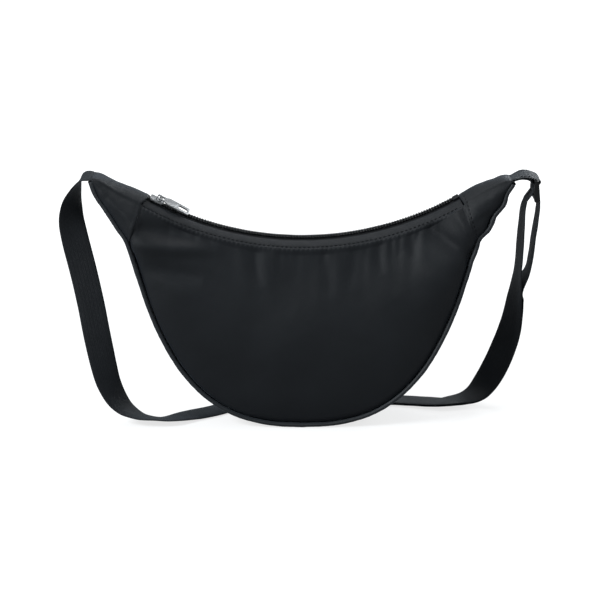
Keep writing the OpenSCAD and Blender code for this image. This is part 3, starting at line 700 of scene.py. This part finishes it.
def ear_grid(side, rows=90, walls=70, cap=26):
    q = np.linspace(0, 1, rows)
    seam_q = seam_share + seam_gap / half_length
    s1 = side * (seam_q + (1 - seam_q) * q ** 0.9)
    wj = np.linspace(1, 0, walls)
    s, w = np.meshgrid(s1, wj, indexing="ij")
    front_wall = panel_point(s, w, -1)
    back_wall = panel_point(s, w, 1)
    settle = (ear_line(s) - top_at(s)) * (1 - w[..., None]) ** 1.5
    for wall in (front_wall, back_wall):
        wall[..., 0] += settle[..., 0]
        wall[..., 2] += settle[..., 1]
    sc, y = np.meshgrid(s1, np.linspace(-0.97, 0.97, cap), indexing="ij")
    sc = sc - side * (5.4 if side < 0 else 2.6) / half_length * (1 - y ** 2) * np.clip(1 - q[:, None] * 4, 0, 1) ** 2
    top = ear_cap_point(sc, y)
    p = np.concatenate([front_wall, top, back_wall[:, ::-1]], 1)
    normal = grid_normals(p)
    middle = p.mean(axis=(1), keepdims=True)
    flip = np.sign(((p - middle) * normal).sum(-1).mean())
    normal = normal * flip
    u, v = seen_at(np.where(p[..., 1:2] > 0, p * [1, -1, 1], p))
    d = (s1[:, None] * side - seam_q) * half_length + 0 * p[..., 0]
    r = 0.22 * soft_noise(u, v + p[..., 1], 26, 21 + side) + 0.10 * soft_noise(u, v, 11, 31 + side)
    if side < 0:
        for fold in (((106, 186), (146, 207), 4.5, -1.0, 2), ((112, 200), (137, 224), 5.0, 0.9),
                ((118, 212), (135, 232), 3.4, -0.8), ((104, 178), (150, 198), 4.5, 0.8)):
            r = r + bump_line(u, v, *fold)
    else:
        for fold in (((460, 200), (500, 186), 5.0, -0.9, 2), ((464, 214), (497, 196), 5.0, 0.9),
                ((470, 228), (492, 210), 4.0, -1.0), ((458, 196), (498, 178), 4.0, 0.7)):
            r = r + bump_line(u, v, *fold)
    r = r * np.clip((1 - np.abs(s1[:, None])) * half_length / 8, 0.2, 1)
    # Dents of the topstitching beside the seam
    run = np.concatenate([[0], np.cumsum(np.linalg.norm(np.diff(p[3], axis=0), axis=-1))])
    pulled = 0.55 + 0.45 * np.cos(2 * np.pi * run / stitch_pitch)
    r = r - 0.25 * np.exp(-((d - ear_stitch_in) / 1.1) ** 2) * pulled[None, :]
    r = r + edge_roll(d, 1.4, 0.5) + 0.5
    p = p + normal * r[..., None]
    row = int(np.argmin(np.abs(d[:, 0] - ear_stitch_in)))
    stitch_path = (p[row, 3:-3], normal[row, 3:-3])
    if side < 0:
        p = p[::-1]
    if flip < 0:
        p = p[:, ::-1]
    return (p if side > 0 else p[:, ::-1] if flip > 0 else p), stitch_path


def slack(p):
    """The slack lower rim of the right ear: its tip draws in and its edge waves."""
    below = top_at(np.clip(np.abs(p[..., 0]) / half_length, 0.55, 1))[..., 1] - p[..., 2]
    low = np.clip((below - 2) / 16, 0, 1)
    low = low * low * (3 - 2 * low)
    reach = np.clip((p[..., 0] - 150) / 12, 0, 1)
    wave = 0.8 * np.sin((p[..., 2] - 158) / 21 * 2 * np.pi) * reach * np.clip((p[..., 2] - 138) / 14, 0, 1)
    drawn = -3.6 * np.clip((p[..., 0] - 170) / 22, 0, 1) ** 1.5
    out = p.copy()
    out[..., 0] += low * (wave + drawn)
    out[..., 2] -= low * wave * 0.5
    return out


ear_paths = []
for side, name in ((-1, "left"), (1, "right")):
    grid, path = ear_grid(side)
    grid, path = slack(grid), (slack(path[0]), path[1])
    ear_paths.append(path)
    # the ears' lighter colour is painted light
    ear = sheet(name + "_ear_cloth_painted_light", grid, EAR_PAINTED_LIGHT)
    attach(ear, "bag")
    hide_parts(name + "_ear")


# Gusset and piping
def gusset_grid(rows=520, columns=40):
    s, y = np.meshgrid(np.linspace(-1, 1, rows), np.linspace(1, -1, columns), indexing="ij")
    b = bottom_at(s)
    d = bottom_direction(s)
    half = gusset_half(s) - piping_r - seam_gap
    base_bow = piping_r + cloth * 0.6
    bow = base_bow + (gusset_bow - base_bow) * np.clip(np.abs(s) * 3, 0, 1)
    x, z = b[..., 0], b[..., 1]
    wrinkle = 0.35 * soft_noise(s * half_length, y * half * 0.6, 30, 41) * (1 - y ** 2)
    wrinkle = wrinkle * np.clip(np.abs(s) * 4 - 0.7, 0, 1)
    bow = (bow + wrinkle) * (1 - np.abs(y) ** 4)
    return np.stack([x + d[..., 1] * bow, y * half, np.maximum(0, z - d[..., 0] * bow)], -1)


# the gusset's darker colour is painted shade
gusset = sheet("gusset_cloth_painted_shade", slack(gusset_grid()), GUSSET_PAINTED_SHADE)
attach(gusset, "bag")
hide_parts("gusset")

for side, name in ((-1, "front"), (1, "back")):
    s = np.linspace(-1, 1, 460)
    b = bottom_at(s)
    path = slack(np.stack([b[:, 0], side * gusset_half(s), b[:, 1]], -1))
    lumps = [soft_noise(s * half_length, 0 * s, size, seed) for size, seed in ((9, 51), (3.2, 52))]
    r = piping_r * (1 + 0.035 * lumps[0] + 0.03 * lumps[1])
    # the piping's lighter colour is a painted highlight
    pipe = tube(name + "_piping_cord", path, np.minimum(r, piping_r * 1.1), 18, PIPING_PAINTED_HIGHLIGHT)
    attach(pipe, "bag")
    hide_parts(name + "_piping")


# Zip
LEAN = math.radians(zip_lean)


def on_zip(a, x, y, h):
    """World place of a point beside the zip: a is the angle along its arc in degrees."""
    a = np.radians(a)
    yy = y * math.cos(LEAN) - h * math.sin(LEAN)
    hh = y * math.sin(LEAN) + h * math.cos(LEAN)
    radius = zip_radius - hh
    z = zip_centre - radius * np.cos(a) + x * np.sin(a)
    return np.stack([radius * np.sin(a) + x * np.cos(a), yy + 0 * a, z], -1)


def arc(length):
    return math.degrees(length / zip_radius)


def facing_profile(side, points=30):
    """Profile of a folded strip, in (y, height) about the zip's line: a rounded fold, then down to the seam."""
    fold_height = 0.5 if side < 0 else 0.6
    edge = np.array([side * zip_gap / 2 * math.cos(LEAN) - fold_height * math.sin(LEAN),
        side * zip_gap / 2 * math.sin(LEAN) + fold_height * math.cos(LEAN)])
    foot = np.array([side * shoulder, -(front_drop if side < 0 else back_drop)])
    along = (foot - edge) / np.linalg.norm(foot - edge)
    out = np.array([along[1], -along[0]]) * (-side)
    out = out if out[1] > 0 else -out
    width = np.linalg.norm(foot - edge)
    r = 0.5
    a = np.linspace(math.radians(200), math.radians(90), 9)
    fold = [edge + along * (r + math.cos(k) * r) + out * (-r + math.sin(k) * r) for k in a]
    rest = [edge + along * (r + (width - r) * t) + out * (0.45 * math.sin(math.pi * t ** 0.8) - 0.25 * t ** 6)
        for t in np.linspace(0.08, 1.0, points - 9)]
    return np.array(fold + rest), out


facing_end = seam_angle - arc(seam_gap)
stitch_row = 0.90
facing_paths = []
for side, name in ((-1, "front"), (1, "back")):
    profile, out = facing_profile(side)
    n = 520
    a = np.radians(np.linspace(-facing_end, facing_end, n))
    run = a * zip_radius
    share = np.linspace(0, 1, len(profile))
    puff = 0.20 * soft_noise(run[:, None], share[None, :] * 6, 16, 61 + side) * np.sin(np.pi * share)[None, :]
    dent = -0.22 * (0.5 + 0.5 * np.cos(2 * np.pi * run[:, None] / stitch_pitch))
    dent = dent * np.exp(-((share[None, :] - stitch_row) / 0.07) ** 2)
    y = profile[None, :, 0] + out[0] * (puff + dent)
    h = profile[None, :, 1] + out[1] * (puff + dent)
    radius = zip_radius - h
    p = np.stack([radius * np.sin(a)[:, None], y, zip_centre - radius * np.cos(a)[:, None]], -1)
    row = int(np.argmin(np.abs(share - stitch_row)))
    up_there = np.stack([-out[1] * np.sin(a), out[0] + 0 * a, out[1] * np.cos(a)], -1)
    facing_paths.append((p[:, row] + 0.1 * up_there, up_there))
    p = p[:, ::-1] if side < 0 else p
    p = p[:, ::-1] if (grid_normals(p)[..., 2].mean() < 0) else p
    strip = sheet(name + "_facing_cloth", p, SHELL, thickness=0.45)
    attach(strip, "bag")
    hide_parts(name + "_facing")


def tape_profile(side):
    """Outer half of a zip tape in (y, height): level under the teeth, then bent down below the facing."""
    flat = np.array([[1.4, 0.26], [2.4, 0.28], [3.4, 0.24], [4.1, 0.02], [4.8, -0.42], [5.5, -0.78]]) * [side, 1]
    lean = np.stack([flat[:, 0] * math.cos(LEAN) - flat[:, 1] * math.sin(LEAN),
        flat[:, 0] * math.sin(LEAN) + flat[:, 1] * math.cos(LEAN)], -1)
    profile, out = facing_profile(side)
    foot = profile[-1] - out * 1.25
    hidden = [lean[-1] + (foot - lean[-1]) * t for t in (0.3, 0.6, 0.88)]
    return np.vstack([lean, hidden])


for side, name in ((-1, "front"), (1, "back")):
    profile = tape_profile(side)
    a = np.radians(np.linspace(-facing_end, facing_end, 300))
    radius = zip_radius - profile[None, :, 1]
    a = a[:, None]
    p = np.stack([radius * np.sin(a), profile[None, :, 0] + 0 * a, zip_centre - radius * np.cos(a)], -1)
    p = p[:, ::-1] if (grid_normals(p)[..., 2].mean() < 0) else p
    tape = sheet(name + "_zip_tape", p, TAPE, thickness=0.45)
    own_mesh(tape)
    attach(tape, "bag")
    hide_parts(name + "_tape")


# Coil: one spiral for each side, whose turns mesh with the other side's, round a cord
stop_length = 3.0
left_stop_angle = -seam_angle + arc(stop_length + 2 * seam_gap)
chain_start = left_stop_angle + arc(slider_length * 0.45)
chain_end = seam_angle - arc(2 * stop_length + 2 * seam_gap)
tooth_step = arc(tooth_pitch)
tooth_count = int((chain_end - chain_start) / tooth_step)
for side, name in ((-1, "front"), (1, "back")):
    turns = 20
    k = np.arange(tooth_count * turns + 1) / turns
    shift = 0 if side < 0 else 0.5
    phase = 2 * np.pi * k
    flat = np.sign(np.cos(phase)) * np.abs(np.cos(phase)) ** 0.6
    tall = np.sign(np.sin(phase)) * np.abs(np.sin(phase)) ** 0.8
    wire = on_zip(chain_start + (k + shift + 0.1) * tooth_step, 0, side * (1.35 - 1.75 * flat), 1.52 + 0.80 * tall)
    coil = tube(name + "_coil", wire, 0.38, 8, COIL)
    core = on_zip(chain_start + (k[::6] + 0.1) * tooth_step, 0, side * 1.7, 1.5)
    cord = tube(name + "_coil_cord", core, 0.42, 8, THREAD)
    for piece in (coil, cord):
        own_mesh(piece)
        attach(piece, "bag")
    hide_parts(name + "_teeth")


def machined(node, name, material, body, bevel=0.22, segments=3):
    """A hard piece: the part's own shape with its flat faces joined and its edges rounded."""
    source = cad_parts[node]
    obj = bpy.data.objects.new(name, source.data.copy())
    scene.collection.objects.link(obj)
    obj.data.transform(source.matrix_world)
    shape = bmesh.new()
    shape.from_mesh(obj.data)
    bmesh.ops.remove_doubles(shape, verts=shape.verts, dist=1e-6)
    bmesh.ops.dissolve_limit(shape, angle_limit=math.radians(2), verts=shape.verts, edges=shape.edges)
    shape.to_mesh(obj.data)
    shape.free()
    obj.data.materials.clear()
    obj.data.materials.append(material)
    obj.data.shade_smooth()
    round_off = obj.modifiers.new("rounded edges", "BEVEL")
    round_off.width = bevel * MM
    round_off.segments = segments
    round_off.limit_method = "ANGLE"
    round_off.angle_limit = math.radians(32)
    round_off.harden_normals = True
    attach(obj, body)
    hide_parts(node)
    return obj


machined("zip_slider", "slider_body", STEEL, "slider", 0.20)
pull = machined("zip_pull", "pull_tab", STEEL, "pull", 0.26)
slider_angle = left_stop_angle + arc(slider_length / 2 + run_gap)
seat_gap, slider_plate, pull_rise, pull_bar_r, bridge_post = 0.06, 1.1, 1.6, 0.8, 0.9
hinge_height = 0.5 * tape_thick + seat_gap + tooth_height + run_gap + slider_plate + pull_rise + run_gap + pull_bar_r
hinge = on_zip(slider_angle, 0.32 * slider_length - bridge_post - run_gap - pull_bar_r, 0.0, hinge_height) * MM
along = on_zip(slider_angle, 10.0, 0, 0) - on_zip(slider_angle, 0.0, 0, 0)
sideways = on_zip(slider_angle, 0, 10.0, 0) - on_zip(slider_angle, 0, 0.0, 0)
droop, roll = [Matrix.Rotation(math.radians(turn), 4, about.tolist()) for turn, about in ((1, sideways), (9, along))]
pull.data.transform(Matrix.Translation(hinge.tolist()) @ droop @ roll
    @ Matrix.Translation((-hinge).tolist()))
machined("left_zip_stop", "left_stop_clamp", ENAMEL, "bag", 0.35)
machined("right_zip_stop", "right_stop_clamp", ENAMEL, "bag", 0.35)
machined("strap_adjuster", "ladder_adjuster", PLASTIC, "adjuster", 0.45)


# Webbing
def ribbon(name, rows, material, width=webbing_width, thick=webbing_thick, columns=16, seed=0):
    """A flat woven strip with round edges; rows hold a place and the width's turn and lift in degrees."""
    rows = np.asarray(rows, float)
    places = rows[:, :3]
    turn, lift = np.radians(rows[:, 3]), np.radians(rows[:, 4])
    ways = np.stack([np.sin(turn) * np.cos(lift), np.cos(turn) * np.cos(lift), np.sin(lift)], -1)
    t = unit(np.gradient(places, axis=0))
    w = unit(ways - (ways * t).sum(-1, keepdims=True) * t)
    n = np.cross(t, w)
    e = np.sin(np.linspace(-np.pi / 2, np.pi / 2, columns))
    half = thick / 2 * (1 - np.abs(e) ** 7) ** 0.5
    length = np.concatenate([[0], np.cumsum(np.linalg.norm(np.diff(places, axis=0), axis=-1))])
    ripple = 0.10 * soft_noise(length[:, None], e[None, :] * width / 2, 19, seed)
    middle = places[:, None] + w[:, None] * e[None, :, None] * width / 2 + n[:, None] * ripple[..., None]
    upper = middle + n[:, None] * half[None, :, None]
    lower = middle - n[:, None] * half[None, :, None]
    ring = np.concatenate([lower, upper[:, -2:0:-1]], 1)
    across = np.concatenate([e, e[-2:0:-1]]) * width / 2
    count, around = ring.shape[:2]
    faces = grid_faces(count, around, True)
    faces.append(list(range(around - 1, -1, -1)))
    faces.append([(count - 1) * around + j for j in range(around)])
    uv = np.stack(np.meshgrid(length, across, indexing="ij"), -1)
    return make_object(name, ring, faces, material, uv), places, w, n


def sampled(rows, steps=8):
    return curve_at(rows, np.linspace(0, len(rows) - 1, steps * (len(rows) - 1) + 1))


def in_pocket(s):
    s = np.float64(s)
    p = top_at(s) + (bottom_at(s) - top_at(s)) * 0.33
    return np.array([p[0], 0, p[1], 0, 0])


left_shares = [[-1, 0, 1, 0, 8], [-1.035, -0.01, 0.999, 3, 11], [-1.06, -0.02, 0.982, 10, 9],
    [-1.082, -0.03, 0.942, 24, 4], [-1.1, -0.04, 0.890, 42, 0], [-1.105, -0.05, 0.826, 60, 0],
    [-1.089, -0.07, 0.744, 76, 0], [-1.053, -0.1, 0.612, 86, 0], [-1.021, -0.14, 0.480, 86, 0],
    [-0.994, -0.2, 0.349, 80, 0], [-0.962, -0.28, 0.218, 66, 0], [-0.938, -0.34, 0.150, 56, 0],
    [-0.898, -0.42, 0.088, 45, 0], [-0.85, -0.52, 0.050, 34, -2], [-0.785, -0.64, 0.028, 20, -7],
    [-0.704, -0.68, 0.0205, 6, -11], [-0.64, -0.57, 0.016, -6, -7], [-0.543, -0.12, 0.0105, -18, 2],
    [-0.447, 0.28, 0.0085, -25, 3]]
floor_shares = [[-0.33, 0.98, 0.006, -28, 0], [-0.2, 1.5, 0.007, -18, 0], [-0.05, 1.75, 0.009, -6, 0],
    [0.1, 1.8, 0.012, 2, 0], [0.25, 1.65, 0.0135, 8, 0], [0.38, 1.4, 0.0145, 9, 0], [0.542, 1.2, 0.016, 7, 0],
    [0.64, 1.02, 0.019, -5, -1], [0.70, 0.94, 0.022, -14, -4]]
right_shares = [[-0.362, 0.99, 0.026, -24, -2], [-0.287, 1.08, 0.037, -36, 0], [-0.231, 1.12, 0.066, -47, 0],
    [-0.184, 1.08, 0.122, -55, 0], [-0.150, 0.98, 0.185, -58, 0], [-0.124, 0.87, 0.249, -56, 0],
    [-0.0986, 0.75, 0.3265, -49, 0], [-0.083, 0.64, 0.398, -39, 0], [-0.074, 0.54, 0.473, -31, 0],
    [-0.067, 0.44, 0.552, -20, 0], [-0.063, 0.35, 0.626, -10, 0], [-0.060, 0.26, 0.6995, -9, 0],
    [-0.058, 0.17, 0.772, -9, 0], [-0.056, 0.08, 0.845, -7, 0], [-0.053, 0, 0.9164, -4, 0],
    [-0.042, 0, 0.956, 0, 0]]
tail_shares = [[0.019, 0, 0.954, 0, 0], [0.019, 0.05, 0.917, -1, 0], [0.012, 0.13, 0.848, -2, 0],
    [0.003, 0.22, 0.774, -3, 0], [-0.004, 0.31, 0.696, -3, 0], [-0.018, 0.38, 0.627, -5, 0]]
tab_shares = [[0, 0.34], [0.22, 1.15], [0.45, 1.78], [0.7, 1.85], [0.9, 1.55], [1.06, 1.05], [1.15, 0.5],
    [1.17, -0.1], [1.12, -0.7], [1.0, -1.02], [0.86, -0.6], [0.74, 0.35], [0.6, 1.05], [0.42, 1.1], [0.22, 0.5],
    [0, -0.34]]
STANDING = np.array([half_length, half_base, left_ear_height, 1, 1])
HUNG = np.array([half_length, half_base, centre_bar_z, 1, 1])
hang_from = np.array([adjuster_x, 0, 0, 0, 0])
main_rows = np.vstack([in_pocket(-0.9), in_pocket(-0.955), np.array(left_shares + floor_shares) * STANDING,
    np.array(right_shares) * HUNG + hang_from])
merge_place = len(main_rows) - 7
tail_end_place = 2 + len(left_shares) + 4


def beside_main(k, step):
    """A row one layer outside the strap's route."""
    t = unit(curve_at(main_rows, np.float64(k + 0.1))[:3] - curve_at(main_rows, np.float64(k - 0.1))[:3])
    row = curve_at(main_rows, np.float64(k)).copy()
    turn, lift = np.radians(row[3]), np.radians(row[4])
    w = np.array([np.sin(turn) * np.cos(lift), np.cos(turn) * np.cos(lift), np.sin(lift)])
    row[:3] -= step * np.cross(t, unit(w - (w @ t) * t))
    return row


bar = np.array([adjuster_x, 0, centre_bar_z])
over = [[bar[0] + loop_r * math.cos(math.radians(a)), 0, bar[2] + loop_r * math.sin(math.radians(a)), 0, 0]
    for a in range(212, -13, -8)]
tail_rows = np.vstack([np.array(tail_shares) * HUNG + hang_from,
    [beside_main(k, 1.8) for k in np.arange(merge_place, tail_end_place - 0.1, -0.5)]])
strap_rows = np.vstack([sampled(main_rows), over, sampled(tail_rows, 6)])
strap, places, w, n = ribbon("strap_webbing_strip", strap_rows, STRAP, seed=71)
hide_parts("shoulder_strap")
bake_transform(strap)

pocket = [in_pocket(0.9), in_pocket(0.955)]
way = unit(pocket[1][:3] - pocket[0][:3])
across = np.array([-way[2], 0, way[0], 0, 0]) * layer_step / 2
adjuster_top = right_ear_height - webbing_thick
tab_tilt = 6
tab_rows = [[half_length + x * adjuster_out, 0,
    right_ear_height + (adjuster_top - right_ear_height) * min(1, max(0, x)) + z * loop_r,
    0, tab_tilt * min(1, max(0, z)) * min(1, max(0, x * 3))] for x, z in tab_shares]
tab_rows = np.vstack([pocket[0] + across, pocket[1] + across, tab_rows, pocket[1] - across, pocket[0] - across])
# the tab's lighter colour is painted light
tab, tab_places, tab_w, tab_n = ribbon("tab_webbing_strip", sampled(tab_rows), TAB_PAINTED_LIGHT,
    width=webbing_width - seam_gap, seed=72)
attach(tab, "bag")
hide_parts("adjuster_tab")


# Stitches: short rods of thread whose ends dip into the cloth
def stitches(path, normals, pitch=stitch_pitch, share=0.66, radius=0.30, first=0.5):
    path, normals = np.asarray(path, float), np.asarray(normals, float)
    run = np.concatenate([[0], np.cumsum(np.linalg.norm(np.diff(path, axis=0), axis=-1))])
    out = []
    for k in range(int(run[-1] / pitch - first)):
        middle = (k + first + 0.2) * pitch
        u = np.linspace(-0.5, 0.5, 7)
        at = middle + u * pitch * share
        c = np.stack([np.interp(at, run, path[:, i]) for i in range(3)], -1)
        m = unit(np.stack([np.interp(at, run, normals[:, i]) for i in range(3)], -1))
        t = unit(np.gradient(c, axis=0))
        b = np.cross(t, m)
        c = c + m * (radius * 0.75 - 1.5 * radius * (2 * np.abs(u[:, None])) ** 3)
        r = radius * (1 - 0.55 * (2 * np.abs(u)) ** 4)
        ang = np.arange(7) / 7 * 2 * np.pi
        around = np.cos(ang)[None, :, None] * b[:, None] + np.sin(ang)[None, :, None] * m[:, None]
        ring = c[:, None] + r[:, None, None] * around
        faces = [f[::-1] for f in grid_faces(7, 7, True)]
        faces += [list(range(7)), [6 * 7 + j for j in range(6, -1, -1)]]
        out.append((ring, faces))
    return out


rows = []
for path, normals in facing_paths:
    rows += stitches(path[::2], normals[::2])
facing_thread = merged("facing_topstitch", rows, THREAD)
rows = []
for path, normals in ear_paths:
    rows += stitches(path, normals)
ear_thread = merged("ear_topstitch", rows, THREAD)
rows = []
tack = np.where((tab_places[:, 0] > 196) & (tab_places[:, 0] < 208) & (tab_n[:, 2] > 0))[0]
face = tab_places[tack] + tab_n[tack] * (webbing_thick / 2)
for y in (-9.6, 9.6):
    rows += stitches(face + tab_w[tack] * y, tab_n[tack], pitch=3.4, radius=0.28, first=0.1)
tab_thread = merged("tab_topstitch", rows, THREAD)
for thread in (facing_thread, ear_thread, tab_thread):
    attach(thread, "bag")


# Lining
def lining_grid(side, rows=70, columns=26):
    s, w = np.meshgrid(np.linspace(-0.93, 0.93, rows) * seam_share, np.linspace(0, 1, columns), indexing="ij")
    top = top_at(s)
    room = 2.9 * cloth
    bottom = bottom_at(s) + np.array([0, room])
    length = np.linalg.norm(bottom - top, axis=-1)
    start = (front_drop if side < 0 else back_drop) / length
    down = start + (cloth + 2 * seam_gap) / length
    down = down + (1 - down) * np.sin(np.pi / 2 * w)
    beside = (down - start) / (1 - start)
    p = top + (bottom - top) * down[..., None]
    depth = (panel_depth(s, beside) - room) * (1 - w ** 12) + seam_gap
    depth = depth - 3.0 * np.clip(w * 30, 0, 1) * (1 - w ** 12)
    depth = np.maximum(depth, seam_gap) + 0.25 * soft_noise(s * half_length, down * 100, 28, 81) * np.sin(np.pi * w)
    p = np.stack([p[..., 0], side * depth, p[..., 1]], -1)
    return p if side < 0 else p[:, ::-1]


for side, name in ((-1, "front"), (1, "back")):
    lining = sheet(name + "_lining_cloth", lining_grid(side), LINING, thickness=0.5)
    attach(lining, "bag")
    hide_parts(name + "_lining")
